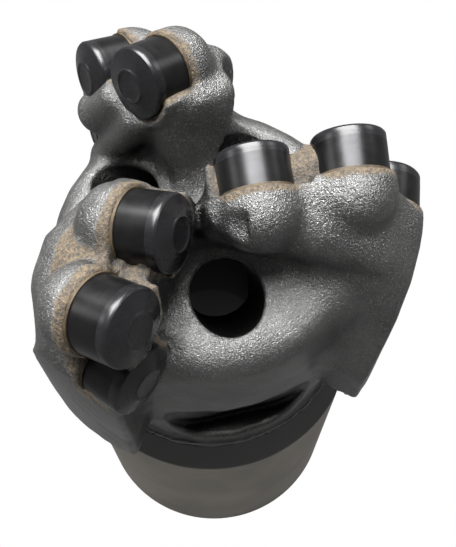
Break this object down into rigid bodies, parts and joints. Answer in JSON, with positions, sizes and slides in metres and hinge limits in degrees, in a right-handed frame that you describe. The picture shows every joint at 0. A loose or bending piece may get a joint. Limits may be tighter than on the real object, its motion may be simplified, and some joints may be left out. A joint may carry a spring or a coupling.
{
  "type": "pdc drill bit",
  "caption": "Short cast rotary drill bit with three thick wings of round diamond-faced cutters, slanted water ports between them and a plain cylindrical shank with a threaded bore.",
  "frame": {"origin": "centre of the threaded bore in the flat base of the shank", "axes": "+Z along the bit axis in the drilling direction, +X along the first wing; the bit turns counter-clockwise seen from above the crown"},
  "size_m": [0.0939, 0.0937, 0.1691],
  "materials": {
    "matrix": "rough cast tungsten-carbide matrix, blasted, with brown flux stain round the cutters",
    "shank_steel": "turned, dull warm grey",
    "carbide": "ground cemented carbide",
    "diamond": "polished black polycrystalline diamond",
    "braze": "browned silver braze"
  },
  "bodies": {
    "root": {"braze_far_1": "braze", "braze_far_2": "braze", "braze_far_3": "braze", "braze_left_1": "braze", "braze_left_2": "braze", "braze_left_3": "braze", "braze_right_1": "braze", "braze_right_2": "braze", "braze_right_3": "braze", "carbide_stud_far_1": "carbide", "carbide_stud_far_2": "carbide", "carbide_stud_far_3": "carbide", "carbide_stud_left_1": "carbide", "carbide_stud_left_2": "carbide", "carbide_stud_left_3": "carbide", "carbide_stud_right_1": "carbide", "carbide_stud_right_2": "carbide", "carbide_stud_right_3": "carbide", "diamond_table_far_1": "diamond", "diamond_table_far_2": "diamond", "diamond_table_far_3": "diamond", "diamond_table_left_1": "diamond", "diamond_table_left_2": "diamond", "diamond_table_left_3": "diamond", "diamond_table_right_1": "diamond", "diamond_table_right_2": "diamond", "diamond_table_right_3": "diamond", "matrix_crown": "matrix", "steel_shank": "shank_steel"}
  },
  "joints": []
}
